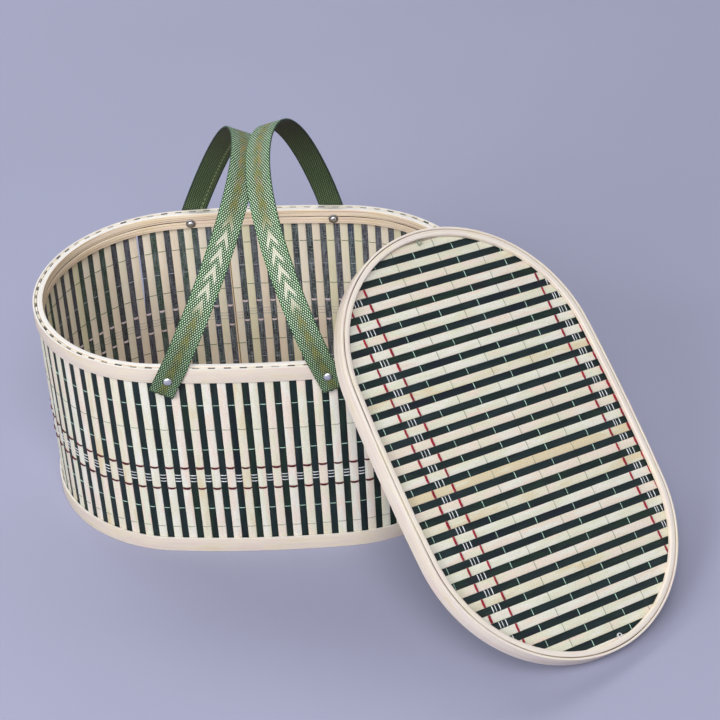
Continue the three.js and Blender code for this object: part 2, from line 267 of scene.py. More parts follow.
def hoop(oval, inset, thickness, bottom, height, rounding, start, top=1.0, crack_shade=0.0):
    """A strip of wood bent round an oval. Its top edge is marked above 0, up to 1, for a painted
    highlight, and -1 for painted shade where it lies in a crack. Its outer top corner is marked
    below 0 by as much painted crack shade as it has."""
    stations = 260
    bm = bar((oval.girth(inset), thickness, height), rounding, stations - 1, loop=True)
    lay_grain(bm, lambda co: co.x, lambda co: co.z + co.y, start)
    edge = bm.faces.layers.float.new("edge")
    for face in bm.faces:
        up = face.normal.z
        face[edge] = top if up > (LEVEL if top > 0 else SLOPING) else 0.0
        if crack_shade and STEEP < up < LEVEL and face.calc_center_median().y < thickness / 2:
            face[edge] = -crack_shade
    for vert in bm.verts:
        spot = oval.spot(vert.co.x, inset, vert.co.y)
        vert.co = (spot.x, spot.y, vert.co.z + bottom)
    bmesh.ops.remove_doubles(bm, verts=bm.verts, dist=1e-6)
    bmesh.ops.recalc_face_normals(bm, faces=bm.faces)
    return bm


def panel(oval, inset, thickness, stations=200):
    """A flat board with an oval outline, its underside at height 0."""
    bm = bmesh.new()
    bmesh.ops.create_circle(bm, cap_ends=True, segments=stations, radius=1)
    girth = oval.girth(inset)
    for i, vert in enumerate(bm.verts):
        vert.co = oval.spot(i * girth / stations, inset).to_3d()
    lifted = bmesh.ops.extrude_face_region(bm, geom=list(bm.faces))["geom"]
    raised = [part for part in lifted if isinstance(part, bmesh.types.BMVert)]
    bmesh.ops.translate(bm, vec=(0, 0, thickness), verts=raised)
    bmesh.ops.recalc_face_normals(bm, faces=bm.faces)
    lay_grain(bm, lambda co: co.x, lambda co: co.y + co.z)
    return bm


def turned(profile, steps=40):
    """A turned piece about the y axis, from (radius, y) pairs that start and end on it."""
    bm = bmesh.new()
    verts = [bm.verts.new((radius, y, 0)) for radius, y in profile]
    edges = [bm.edges.new(pair) for pair in zip(verts, verts[1:])]
    bmesh.ops.spin(
        bm, geom=verts + edges, cent=(0, 0, 0), axis=(0, 1, 0), angle=2 * math.pi,
        steps=steps, use_merge=True,
    )
    bmesh.ops.remove_doubles(bm, verts=bm.verts, dist=1e-7)
    bmesh.ops.recalc_face_normals(bm, faces=bm.faces)
    return bm


def to_mesh(name, bm):
    mesh = bpy.data.meshes.new(name)
    bm.to_mesh(mesh)
    bm.free()
    return mesh


def add_object(name, data):
    made = bpy.data.objects.new(name, data)
    bpy.context.scene.collection.objects.link(made)
    return made


def add_piece(name, bm, finish, body, slot, *nodes, smooth=35):
    """Makes a finished object of a bmesh, riding on a body and standing for its CAD nodes."""
    mesh = to_mesh(name, bm)
    mesh.materials.append(bpy.data.materials[finish])
    mesh.shade_smooth()
    mesh.set_sharp_from_angle(angle=math.radians(smooth))
    piece = add_object(name, mesh)
    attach(piece, body)
    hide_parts(*nodes)


def tubes(paths):
    """Round threads as one bmesh. A path is a radius and its places, each with 1 where it lies on
    the inner side and 0 where it shows outside, and a mark in between where it turns in between
    slats, which paints shade there."""
    curve = bpy.data.curves.new("threads", "CURVE")
    curve.dimensions = "3D"
    curve.bevel_depth = MM
    curve.bevel_resolution = 1
    for radius, places in paths:
        spline = curve.splines.new("POLY")
        spline.points.add(len(places) - 1)
        for point, (spot, _) in zip(spline.points, places):
            point.co, point.radius = (*spot, 1), radius / MM
    holder = add_object("threads", curve)
    graph = bpy.context.evaluated_depsgraph_get()
    mesh = bpy.data.meshes.new_from_object(holder.evaluated_get(graph))
    bpy.data.objects.remove(holder)
    bpy.data.curves.remove(curve)
    sides = [side for _, places in paths for _, side in places]
    ring = len(mesh.vertices) // len(sides)
    marks = [float(side) for side in sides for _ in range(ring)]
    mesh.attributes.new("inner", "FLOAT", "POINT").data.foreach_set("value", marks)
    bm = bmesh.new()
    bm.from_mesh(mesh)
    bpy.data.meshes.remove(mesh)
    bmesh.ops.holes_fill(bm, edges=bm.edges, sides=ring)
    return bm


# Slats


def slat_master(width, thickness, tall, cuts=15):
    """One straight slat: x across it from its middle, y inwards from its face, z along it."""
    bm = bar((tall, thickness, width), min(0.4 * MM, thickness * 0.42), cuts, segments=2)
    turn = Matrix.Rotation(-math.pi / 2, 3, "Y")
    bmesh.ops.rotate(bm, cent=(0, 0, 0), matrix=turn, verts=bm.verts)
    bmesh.ops.translate(bm, vec=(width / 2, 0, 0), verts=bm.verts)
    return to_mesh("slat", bm)


# How far a slat may bow sideways, and how much wider it is drawn than its own width, in
# millimetres, and how much grain the slats are cut from
BOW, SNUG, GRAIN_LENGTH = 0.1, 0.14, 900


class SlatMat:
    """Collects slats of one kind in one mesh, each with its own shade and its own place in the
    grain, and marks the side that faces inwards."""

    def __init__(self, seed):
        self.bm = bmesh.new()
        self.grain = self.bm.loops.layers.uv.new("grain")
        layers = self.bm.faces.layers.float
        self.marks = [layers.new(key) for key in ("shade", "inner", "tip", "lap")]
        self.random = random.Random(seed)

    def slack(self, width):
        """How far the next slat bows sideways, and how much wider it is drawn, as a factor."""
        return self.random.uniform(-BOW, BOW) * MM, 1 + SNUG * MM / width

    def add(self, master, place, shade=None, lap=False):
        bm = self.bm
        known_verts, known_faces = len(bm.verts), len(bm.faces)
        bm.from_mesh(master)
        bm.verts.ensure_lookup_table()
        bm.faces.ensure_lookup_table()
        shade = self.random.random() if shade is None else shade
        start = 0 if lap else self.random.uniform(0, GRAIN_LENGTH)
        for face in bm.faces[known_faces:]:
            marks = (shade, face.normal.y > 0.5, abs(face.normal.z) > 0.5, lap)
            for layer, mark in zip(self.marks, marks):
                face[layer] = float(mark)
            for loop in face.loops:
                co = loop.vert.co
                loop[self.grain].uv = ((co.x + co.y) / MM + start, co.z / MM + start)
        for vert in bm.verts[known_verts:]:
            vert.co = place(vert.co)


def add_mats(mats, name, finishes, body, node):
    for mat, kind, finish in zip(mats, ("cream", "dark"), finishes):
        add_piece(f"{name}_{kind}_slats", mat.bm, finish, body, "slat_bamboo", node)


def wall_slats(oval, sizes, inset):
    """Start, width and kind of each slat round the wall, from the lap at the back."""
    girth = oval.girth(inset)
    pitch = sizes.cream_width + sizes.dark_width + 2 * sizes.gap
    repeats = int(girth // pitch)
    spare = girth - repeats * pitch
    seam = girth / 2 + sizes.seam_past_back
    run = seam - (sizes.cream_width + spare) / 2
    slats = []
    for i in range(repeats):
        width = sizes.cream_width + (spare if i == 0 else 0)
        slats.append((run, width, False))
        run += width + sizes.gap
        slats.append((run, sizes.dark_width, True))
        run += sizes.dark_width + sizes.gap
    return slats


# Materials


def operation(kind, swapped=False):
    """A method of Shade that adds a Math node of one kind."""

    def method(self, *others):
        values = (*others, self) if swapped else (self, *others)
        return self.paint.node("ShaderNodeMath", {"operation": kind}, dict(enumerate(values)))

    return method


class Shade:
    """One value in a material's nodes, so that sums on it read as sums."""

    def __init__(self, paint, socket):
        self.paint, self.socket = paint, socket

    __add__ = __radd__ = operation("ADD")
    __sub__ = operation("SUBTRACT")
    __rsub__ = operation("SUBTRACT", swapped=True)
    __mul__ = __rmul__ = operation("MULTIPLY")
    __mod__ = operation("FLOORED_MODULO")
    __abs__ = operation("ABSOLUTE")
    sin = operation("SINE")
    at_least = operation("MAXIMUM")

    def step(self, low, high):
        """Rises smoothly from 0 at low to 1 at high, or falls where high is the smaller."""
        inputs = {"Value": self, "From Min": low, "From Max": high}
        return self.paint.node("ShaderNodeMapRange", {"interpolation_type": "SMOOTHSTEP"}, inputs)


class Paint:
    """The nodes of a material or a world in the making."""

    def __init__(self, owner, shader="Principled BSDF"):
        self.owner = bpy.data.materials.new(owner) if isinstance(owner, str) else owner
        self.owner.use_nodes = True
        self.tree = self.owner.node_tree
        self.shader = self.tree.nodes[shader]

    def node(self, kind, settings, inputs, output=0):
        """A node of a type, with its settings and then the values or links of its sockets."""
        made = self.tree.nodes.new(kind)
        for key, value in settings.items():
            if key == "stops":
                ramp = made.color_ramp
                while len(ramp.elements) < len(value):
                    ramp.elements.new(1)
                for element, (place, stop) in zip(ramp.elements, value):
                    element.position, element.color = place, (*stop, 1)
            else:
                setattr(made, key, value)
        for key, value in inputs.items():
            self.set(made.inputs[key], value)
        return Shade(self, made.outputs[output])

    def set(self, socket, value):
        if isinstance(value, Shade):
            self.tree.links.new(value.socket, socket)
        elif socket.type == "RGBA":
            socket.default_value = (*value[:3], 1)
        else:
            socket.default_value = value

    def put(self, **values):
        """Sets or links sockets of the shader, with underscores for the spaces in their names."""
        for key, value in values.items():
            self.set(self.shader.inputs[key.replace("_", " ")], value)

    def place(self):
        """The place in the object's own space, as a vector."""
        return self.node("ShaderNodeTexCoord", {}, {}, "Object")

    def grain(self):
        """The two parts of the place on the straight piece, in millimetres."""
        place = self.node("ShaderNodeUVMap", {"uv_map": "grain"}, {})
        return self.part(place, 0), self.part(place, 1)

    def part(self, vector, which):
        return self.node("ShaderNodeSeparateXYZ", {}, {0: vector}, which)

    def attribute(self, name):
        return self.node("ShaderNodeAttribute", {"attribute_name": name}, {}, "Fac")

    def noise(self, place, detail=3.0, roughness=0.5, scale=1.0):
        """Noise at a place, which is a vector or a tuple of its parts."""
        if isinstance(place, tuple):
            place = self.node("ShaderNodeCombineXYZ", {}, dict(enumerate(place)))
        inputs = {"Vector": place, "Scale": scale, "Detail": detail, "Roughness": roughness}
        return self.node("ShaderNodeTexNoise", {}, inputs, "Fac")

    def mix(self, factor, first, second, blend="MIX"):
        settings = {"data_type": "RGBA", "blend_type": blend, "clamp_factor": True}
        return self.node("ShaderNodeMix", settings, {0: factor, 6: first, 7: second}, 2)

    def layers(self, body, *layers):
        """A colour with others laid over it in turn, each given as a share and a colour."""
        for share, layer in layers:
            body = self.mix(share, body, layer)
        return body

    def ramp(self, factor, stops, base=(1, 1, 1)):
        """A colour ramp whose stops are shares of a base colour."""
        stops = [(place, tinted(base, *shares)) for place, shares in stops]
        return self.node("ShaderNodeValToRGB", {"stops": stops}, {0: factor}, "Color")

    def bump(self, height, distance, strength=1.0):
        inputs = {"Height": height, "Distance": distance, "Strength": strength}
        return self.node("ShaderNodeBump", {}, inputs, "Normal")

    def backdrop(self, factor, other):
        """Shows another shader to the camera and in reflections, where the factor is 1."""
        camera, glossy = (
            self.node("ShaderNodeLightPath", {}, {}, f"Is {ray} Ray") for ray in ("Camera", "Glossy")
        )
        own = Shade(self, self.shader.outputs[0])
        inputs = {0: camera.at_least(glossy) * factor, 1: own, 2: other}
        end = next(node for node in self.tree.nodes if node.name.endswith(" Output"))
        self.set(end.inputs["Surface"], self.node("ShaderNodeMixShader", {}, inputs))


def tinted(base, *shares):
    """A colour with each of its parts multiplied by a share."""
    return tuple(min(1.0, part * share) for part, share in zip(base, shares))


def shifted(base, lightness, warmth=0.0):
    """A colour made lighter or darker by a share, and warmer or cooler."""
    return tinted(base, lightness * (1 + warmth), lightness, lightness * (1 - warmth))


def planed_wood(name, base, lines, roughness=0.55):
    """Pale planed bamboo: long fine fibres, patches of pink and yellow, and a few dark streaks,
    which show as much as lines says, from 0 to 1."""
    paint = Paint(name)
    along, across = paint.grain()
    edge = paint.attribute("edge")
    fibre = paint.noise((along * 0.05, across * 4.0), 4.0, 0.65)
    streak = paint.noise((along * 0.006, across * 1.3, 7.0), 1.0)
    fine = paint.noise((along * 0.012, across * 2.6, 2.0), 1.0)
    patch = paint.noise((along * 0.035, across * 0.16, 3.0))
    crack_shade = 0.45 + 0.55 * paint.noise((along * 0.02, 0, 11.0), 2.0).step(0.4, 0.6)
    low, depth = 0.6 - 0.08 * lines, 0.72 - 0.18 * lines
    body = paint.layers(
        paint.ramp(patch, WOOD_TONES, base),
        (streak.step(low, low + 0.1) * lines, tinted(base, depth, depth * 0.77, depth * 0.5)),
        (fine.step(0.57, 0.67) * lines * 0.7, tinted(base, 0.78, 0.68, 0.52)),
        (fibre.step(0.45, 0.75) * 0.25, tinted(base, 0.82, 0.76, 0.68)),
        # Painted highlight: faces marked above 0, the upward top faces, are painted near-white
        (edge.at_least(0) * (1.0 - fibre * 0.3), tone("e2e1df")),
        # Painted shade of the crack between two strips, in patches
        ((0 - edge).at_least(0) * crack_shade, tone("4a311c")),
    )
    paint.put(
        Base_Color=body,
        Roughness=roughness - 0.08 + fibre * 0.16,
        Normal=paint.bump(fibre - streak.step(0.56, 0.66), 0.00012, 0.7),
    )


def slat_wood(name, skin, pith, tones, inner_tones, ends, mottled):
    """A split slat: its skin side outwards, its rougher pith side inwards, each slat its own tone
    and the tone drifting along it. The pith of a mottled slat shows pale threads of fibre, made
    stronger on the right half of the basket by painted light."""
    paint = Paint(name)
    # Painted light: 0 on the left of the basket, 1 on its right, where the pith's specks show
    # stronger
    lit_right_side = paint.part(paint.place(), 0).step(-0.15, 0.0)
    across, along = paint.grain()
    own, inner, tip, lap = (paint.attribute(key) for key in ("shade", "inner", "tip", "lap"))
    fibre = paint.noise((across * 3.5, along * 0.05), 4.0, 0.7)
    cloud = paint.noise((across * 0.16, along * 0.03, 9.0))
    grit = paint.noise((across * 1.3, along * 0.8, 13.0), 3.0, 0.75)
    thread = paint.noise((across * 2.6, along * 0.06, 5.0), 2.0, 0.6)
    weft = paint.noise((across * 0.25, along * 1.5, 6.0), 2.0, 0.6)
    speck = (thread.step(0.50, 0.60) * 0.8).at_least(weft.step(0.53, 0.62) * 0.8)
    worn = thread.step(0.5, 0.62) * cloud.step(0.42, 0.6) * mottled * 0.45
    slip = across - LAP_PLACE - along * LAP_SLANT

    outer = paint.ramp(own * 0.72 + cloud * 1.3 - 0.51, tones, skin)
    fibres = fibre.step(0.42, 0.75) * (0.4 + 0.3 * mottled)
    outer = paint.mix(fibres, outer, shifted(skin, 0.62, 0.05))
    outer = paint.mix(1.0, outer, paint.ramp(grit, GRIT), "MULTIPLY")
    outer = paint.mix(worn, outer, tinted(skin, 4.5, 2.6, 3.4))
    back = paint.layers(
        paint.ramp(own * 7.3 % 1.0 * 0.8 + cloud * 0.6 - 0.2, inner_tones, pith),
        (fibre.step(0.4, 0.75) * (0.25 + 0.45 * mottled), shifted(pith, 0.5, 0.04)),
        # Painted light: the pale specks are stronger on the right half of the basket
        (speck * mottled * (0.5 + 0.8 * lit_right_side), tinted(pith, 4.2, 4.2, 4.4)),
        (slip.step(0.0, 0.5) * lap * 0.8, tinted(pith, 0.85, 0.72, 0.55)),
        (abs(slip).step(0.55, 0.2) * lap, tone("8a6a44")),
    )
    end = paint.mix(own.step(0.2, 0.55), *(tone(code) for code in ends))
    paint.put(
        Specular_IOR_Level=0.25,
        Base_Color=paint.layers(outer, (inner, back), (tip * 0.95, end)),
        Roughness=0.45 + inner * 0.15 + fibre * 0.12,
        Normal=paint.bump(fibre + speck * inner * mottled, 0.00012, 0.8),
    )


def thread_yarn(name, base, inner_tone):
    """Twisted cotton thread, toned differently where it lies on the inner side."""
    paint = Paint(name)
    fuzz = paint.noise(paint.place(), 2.0, scale=2200.0)
    patch = paint.noise(paint.place(), 2.0, scale=160.0)
    inner = paint.attribute("inner")
    body = paint.layers(
        shifted(base, 0.7),
        (patch.step(0.35, 0.65), shifted(base, 1.12)),
        (inner, inner_tone),
        # Painted shade where the thread turns in between the slats, marked between 0 and 1
        (inner * (1 - inner) * 3, shifted(base, 0.22)),
        (fuzz.step(0.4, 0.8) * 0.35, shifted(base, 0.5)),
    )
    paint.put(Base_Color=body, Roughness=0.85, Normal=paint.bump(fuzz, 0.00008))


def basket_webbing(colours):
    """Green twill webbing: light stitches on a dark ground, with pale chevrons up the middle of
    its outer face that turn olive towards its ends and its crest, and a plain dark inner face."""
    paint = Paint("green_webbing")
    along, across = paint.grain()
    lift, inner, seam, cut = (paint.attribute(key) for key in ("lift", "inner", "seam", "cut"))
    middle, low = abs(across), lift.step(0.3, 0.02)
    row, column = along * (2 * math.pi / TWILL_LENGTH), across * (2 * math.pi / TWILL_WIDTH)
    ribs = (row * 2 - math.pi / 2).sin()
    twill = (row - column).sin() * 0.6 + (row + column).sin() * 0.4 + ribs * 0.3
    fuzz = paint.noise((along * 2.4, across * 2.4))
    cloud = paint.noise((along * 0.12, across * 0.3))
    stitch = (twill + 0.3 + (fuzz - 0.5) * (0.8 + low * 1.7)).step(0.32, 0.74)
    swell = lift.step(0.30, 0.46) * lift.step(0.82, 0.69)
    core = middle.step(4.4, 1.5) * (1 - swell)
    olive, dark, light = colours.webbing_olive, colours.webbing_dark, colours.webbing_light
    ground = paint.layers(
        dark,
        (cloud.step(0.35, 0.65), shifted(dark, 0.65, -0.05)),
        (core * 0.45, shifted(olive, 0.22)),
    )
    dots = paint.layers(
        shifted(light, 0.9),
        (cloud.step(0.3, 0.7), shifted(light, 1.2, -0.03)),
        (lift.step(0.35, 0.05) * 0.7, tinted(light, 0.82, 0.90, 0.74)),
        (core * (0.4 + low * 0.2), shifted(olive, 1.2)),
        (middle.step(5.4, 7.8) * (0.4 - low * 0.25), tinted(light, 0.75, 1.05, 0.85)),
    )
    cover = 0.58 + 0.42 * lift.step(0.05, 0.42) - 0.15 * lift.step(0.72, 0.95)

    spot = (CHEVRON_START - along - middle * 2.5) % CHEVRON_PITCH
    taper = middle * 0.8
    arm = spot.step(0.0, 0.6) * spot.step(7.2 - taper, 6.3 - taper)
    arm = arm * (middle - 3.0 - 1.4 * swell).step(0.0, -0.7)
    pale = paint.mix(swell, shifted(olive, 1.15, 0.06), colours.chevron)

    crown = lift.step(0.35, 0.95)
    dash = (along * (2 * math.pi / SEAM_PITCH)).sin().step(-0.8, 0.2)
    line = abs(across - SEAM_PLACE).step(0.9, 0.35) * seam * dash
    lining = paint.layers(
        tinted(colours.lining, 0.45, 0.85, 0.7),
        (crown, tinted(colours.lining, 0.95, 0.72, 0.7)),
        (stitch * (0.55 - 0.35 * crown), tone("8fa97a")),
        (middle.step(7.4, 8.6) * 0.75, tone("1c2c24")),
        (line * 0.6, tone("93a072")),
    )
    body = paint.layers(
        ground,
        (stitch * cover, dots),
        (lift.step(0.82, 0.99) * 0.15, tone("5c7462")),
        (cloud.step(0.48, 0.62) * core * lift.step(0.7, 0.9) * 0.3, tone("9a7a58")),
        # Darker along both edges: partly a darker selvage, partly painted shade on the webbing's
        # edges
        (middle.step(8.4, 9.1) * 0.7, shifted(dark, 0.9)),
        (arm * (0.25 + 0.4 * stitch + 0.3 * swell) * (1 - low * 0.4), pale),
        (cut.step(0.15, 0.7) * 0.8, shifted(dark, 0.9, 0.1)),
        (inner, lining),
    )
    relief = paint.bump(twill * 0.5 + fuzz * 0.3, 0.00025, 0.9)
    paint.put(Base_Color=body, Roughness=0.8, Normal=relief)


def rivet_steel(name, base, roughness):
    """Plated steel with fine scratches."""
    paint = Paint(name)
    wear = paint.noise(paint.place(), 4.0, scale=900.0)
    paint.put(
        Base_Color=paint.mix(wear.step(0.4, 0.8), base, shifted(base, 0.6, 0.03)),
        Metallic=1.0,
        Roughness=roughness + wear * 0.2,
        Normal=paint.bump(wear, 0.00004),
    )


# Measures of the finishes in millimetres: the twill's pitch along and across the webbing, its
# chevrons' pitch and start, the stitches of its seam and their way from the middle, and where
# the lapped slat of the wall ends and how much that line slants
TWILL_LENGTH, TWILL_WIDTH = 2.9, 1.71
CHEVRON_PITCH, CHEVRON_START = 11.8, 1.55
SEAM_PITCH, SEAM_PLACE = 4.6, 4.9
LAP_PLACE, LAP_SLANT = 3.4, 0.006

# Where each tone lies between 0 and 1, and its red, green and blue against the base
WOOD_TONES = [
    (0.30, (1.02, 0.94, 0.98)), (0.45, (1.00, 0.99, 1.02)),
    (0.58, (1.04, 1.03, 0.98)), (0.72, (0.98, 0.95, 0.82)),
]
GRIT = [
    (0.36, (0.85, 0.84, 0.81)), (0.47, (0.90, 0.92, 0.91)),
    (0.53, (0.97, 0.95, 0.94)), (0.64, (1.0, 1.0, 1.0)),
]
CREAM_TONES = [
    (0.0, (1.07, 0.94, 0.92)), (0.2, (0.95, 1.00, 0.91)), (0.4, (1.04, 1.07, 1.11)),
    (0.6, (1.06, 0.95, 0.94)), (0.8, (0.97, 0.99, 0.90)), (1.0, (0.93, 0.83, 0.64)),
]
CREAM_INNER_TONES = [
    (0.0, (0.95, 0.88, 0.82)), (0.3, (1.04, 0.98, 0.94)),
    (0.55, (1.06, 1.04, 1.04)), (0.8, (0.97, 0.99, 0.85)),
]
DARK_TONES = [
    (0.0, (0.8, 0.55, 0.95)), (0.2, (0.7, 0.85, 0.8)), (0.4, (1.3, 1.2, 1.4)),
    (0.6, (0.6, 0.65, 0.6)), (0.8, (1.2, 1.4, 0.9)), (1.0, (0.9, 0.5, 0.6)),
]
DARK_INNER_TONES = [
    (0.0, (0.32, 0.42, 0.95)), (0.25, (0.5, 0.85, 0.5)), (0.5, (0.28, 0.25, 0.30)),
    (0.75, (0.95, 0.7, 1.05)), (1.0, (0.4, 0.6, 0.4)),
]


# Operators


def settings():
    scene = bpy.context.scene
    return [getattr(scene, name) for name in GROUPS]


def oval_of(sizes):
    return Oval(sizes.half_length, sizes.half_width, sizes.side_bow)


def mat_inset(sizes):
    """How far inside the outline of the basket or the lid its mat lies."""
    return sizes.band_thickness + bpy.context.scene.basket_sizes.seat_gap


def lid_matrix():
    """Where the lid leans: the underside of its mat rests on the rim and its band on the floor."""
    basket, _, _, lid, _ = settings()
    level = Vector((-math.sin(lid.facing), math.cos(lid.facing), 0))
    facing = Vector((0, 0, math.cos(lid.tilt)))
    facing.xy = math.sin(lid.tilt) * Vector((math.cos(lid.facing), math.sin(lid.facing)))
    downhill = level.cross(facing)
    long = downhill * math.cos(lid.turn) + level * math.sin(lid.turn)
    across = facing.cross(long)
    rim = oval_of(basket).point(math.atan2(facing.x, -facing.y), 0)
    under_mat = basket.seat_gap + lid.drop + lid.thickness
    outwards = facing.dot(Vector((rim.x, rim.y, basket.height))) + under_mat
    foot = oval_of(lid).point(math.atan2(-long.z, across.z), 0)
    height = lid.band_height * facing.z - foot.x * long.z - foot.y * across.z
    slide = (height - outwards * facing.z) / downhill.z
    matrix = Matrix((long, across, facing)).transposed().to_4x4()
    matrix.translation = level * lid.along + downhill * slide + facing * outwards
    return matrix


# The threads' finishes: their colour, and their colour on the inner side
YARNS = {
    "red_thread": ("9c1030", "e4d4d8"),
    "wall_red_thread": ("580418", "e4d4d8"),
    # Painted shade: on the inner side the same mint thread is painted a darker olive, as if in shade
    "green_thread": ("bce2cf", "68744a"),
    "olive_thread": ("9aa592", "b4b9c8"),
    "white_thread": ("eceef4", "cfc8c0"),
}


class BASKET_OT_materials(Operator):
    """Mix the basket's finishes"""

    bl_idname = "basket.materials"
    bl_label = "Finishes"

    def execute(self, context):
        colours = context.scene.basket_colours
        planed_wood("band_bamboo", colours.band, 0.16)
        planed_wood("lid_bamboo", colours.lid_band, 0.45)
        planed_wood("strip_bamboo", colours.strip, 0.85)
        planed_wood("base_board", colours.board, 0.4, 0.65)
        cream = (colours.cream_inner, CREAM_TONES, CREAM_INNER_TONES, ("dcd6c6", "ebe7dd"), 0.0)
        dark = (colours.dark_inner, DARK_TONES, DARK_INNER_TONES, ("7d7a68", "dcd8cc"), 0.7)
        slat_wood("cream_slats", colours.cream, *cream)
        slat_wood("lid_cream_slats", shifted(colours.cream, 0.95, -0.012), *cream)
        slat_wood("dark_slats", colours.dark, *dark)
        for name, codes in YARNS.items():
            thread_yarn(name, *(tone(code) for code in codes))
        basket_webbing(colours)
        rivet_steel("rivet_steel", colours.steel, 0.28)
        rivet_steel("washer_steel", shifted(colours.steel, 0.38, 0.08), 0.5)
        return {"FINISHED"}


# In millimetres, how far the slats' tips stand below and above the wall's height, and the angle
# beside the lid's rest where none stands above it
TIPS, CLEAR_OF_LID = (-0.6, 0.35), 0.6
# In millimetres, how far the slats' feet stand further round than their tops at most, and the
# angle round the wall from which that varies
LEAN, LEAN_START = 1.2, 0.87
# The shades of the slat at the wall's lap and of the lid's tan slat
LAP_SHADE, TAN_SHADE = 0.35, 1.25
# The slat, counted from the lap, that has slipped, by how many millimetres its upper part is
# narrower to leave a chink, and from where and over which share of its height
CROOKED_SLAT, CHINK, CHINK_START, CHINK_RUN = 13, 1.3, 0.48, 0.12


class BASKET_OT_wall(Operator):
    """Stand the slats of the wall round the base"""

    bl_idname = "basket.wall"
    bl_label = "Wall slats"

    def execute(self, context):
        basket, sizes, _, lid, _ = settings()
        oval, inset, tall = oval_of(basket), mat_inset(basket), basket.height
        girth = oval.girth(inset)
        under_lid = math.pi / 2 + lid.facing
        mats = (SlatMat(11), SlatMat(12))
        masters = {}
        for index, (run, width, dark) in enumerate(wall_slats(oval, sizes, inset)):
            step = sizes.dark_step if dark else 0
            key = (dark, round(width, 6))
            if key not in masters:
                masters[key] = slat_master(width, sizes.thickness - 2 * step, tall)
            mat, middle = mats[dark], run + width / 2
            turn = oval.turn_at(middle, inset)
            spot, way = oval.point(turn, inset + step), outward(turn)
            sideways = Vector((-way.y, way.x))
            bow, snug = mat.slack(width)
            lean = slat_lean(middle, girth)
            tip = mat.random.uniform(*TIPS) * MM
            if abs(turn - under_lid) < CLEAR_OF_LID:
                tip = min(tip, 0)
            chink = CHINK * MM if index == CROOKED_SLAT else 0

            def place(co):
                share = co.z / tall
                x = co.x * snug + bow * math.sin(math.pi * share) + lean * (0.5 - share)
                if co.x > 0:
                    x -= chink * max(0, min(1, (share - CHINK_START) / CHINK_RUN))
                flat = spot + sideways * x - way * co.y
                return Vector((flat.x, flat.y, co.z * (1 + tip / tall)))

            mat.add(masters[key], place, LAP_SHADE if index == 0 else None, index == 0)
        add_mats(mats, "wall", ("cream_slats", "dark_slats"), "basket", "wall_slat_mat")
        return {"FINISHED"}


def slat_lean(run, girth):
    """How much further round the wall a slat's foot stands than its top."""
    return LEAN * MM * math.cos(2 * math.pi * run / girth + LEAN_START)


# Kinds of thread in the wall and in the lid: name, finish, whether it shows over the dark slats,
# its sag over a slat, and the place and radius of its rows, in millimetres
WALL_THREADS = [
    ("green", "green_thread", True, 0.08, [(134.2, 0.26), (94.7, 0.26), (40.5, 0.26)]),
    ("olive", "olive_thread", False, 0.10, [(112.7, 0.24), (23.0, 0.24)]),
    ("red", "wall_red_thread", False, 0.28, [(78.0, 0.46), (59.2, 0.46)]),
    ("white", "white_thread", True, 0.08, [(71.0, 0.34), (68.3, 0.26), (65.5, 0.34)]),
]
LID_THREADS = [
    ("green", "green_thread", True, 0,
     [(-92.1, 0.26), (-43.7, 0.26), (-9.1, 0.26), (25.0, 0.26), (62.9, 0.26)]),
    ("olive", "olive_thread", False, 0, [(-26.1, 0.22), (10.6, 0.22), (45.9, 0.22)]),
    ("red", "red_thread", False, 0.2,
     [(-77.0, 0.48), (-60.2, 0.48), (82.1, 0.48), (99.2, 0.48)]),
    ("white", "white_thread", True, 0,
     [(-71.9, 0.34), (-69.2, 0.26), (-66.2, 0.34), (88.7, 0.34), (91.1, 0.26), (94.1, 0.34)]),
]
# Loose ends of thread on the lid: place along and across it
TUFTS = {"olive": (-0.1562, -0.0009), "white": (0.1562, 0.0127)}
# How much a row of the wall climbs once round, so that it ends above where it began
CLIMB = 3.6 * MM
# The shares of a slat's width where its thread is placed
CROSSING = (0.04, 0.2, 0.5, 0.8, 0.96)
# In radii, how far a thread stands off a slat, how far it turns in at the slat's edges, and how
# far each of two strands lies from the middle of its row
STAND_OFF, TURN_IN, APART = 0.8, 0.9, 0.8
# How much a thread wanders, in millimetres, and its share of the other side's mark where it turns
# in at a slat's edges, which paints shade on it there
WANDER, EDGE_SHADE_MARK = 0.1, 0.2
# The curls of a loose end and the points of each, and the angles that they bend through
CURLS, CURL_POINTS, CURL_BENDS = 4, 15, (5.0, 5.6)
# In millimetres, the curls' radii, their reach along the lid, and their height and rise off it
CURL_SIZES, CURL_REACH, CURL_HEIGHT, CURL_RISE = (1.2, 2.6), 1.5, 0.3, 1.6
# How flat the curls are across the lid, and the radius of their thread
CURL_SQUASH, CURL_RADIUS = 0.8, 0.25 * MM


def strands(kind, rows):
    """Place and radius of each row, with each red row laid as two strands side by side."""
    for place, radius in rows:
        for offset in (-APART, APART) if kind == "red" else (0,):
            yield (place + offset * radius) * MM, radius * MM


def weave(start, width, step, thickness, radius, sag, outside, wander):
    """A thread's places over or under one slat: run, rise, depth and 1 on the inner side, with
    marks in between where it turns in, which paint shade there.
    """
    off = -radius if outside else radius
    depth = (step if outside else thickness - step) + off * STAND_OFF
    rise = wander.gauss(0, WANDER * MM)
    for share in CROSSING:
        drop = sag * (1 - 2 * math.sin(math.pi * share))
        at_edge = share in (CROSSING[0], CROSSING[-1])
        edge, turn_in_shade = (-off * TURN_IN, EDGE_SHADE_MARK) if at_edge else (0, 0)
        side = turn_in_shade if outside else 1 - turn_in_shade
        yield start + width * share, rise + drop, depth + edge, side
    half_gap = bpy.context.scene.slat_sizes.gap / 2
    # Marked halfway between the sides, which paints the thread darkest in the gap: painted shade
    yield start + width + half_gap, sag, thickness / 2, 0.5


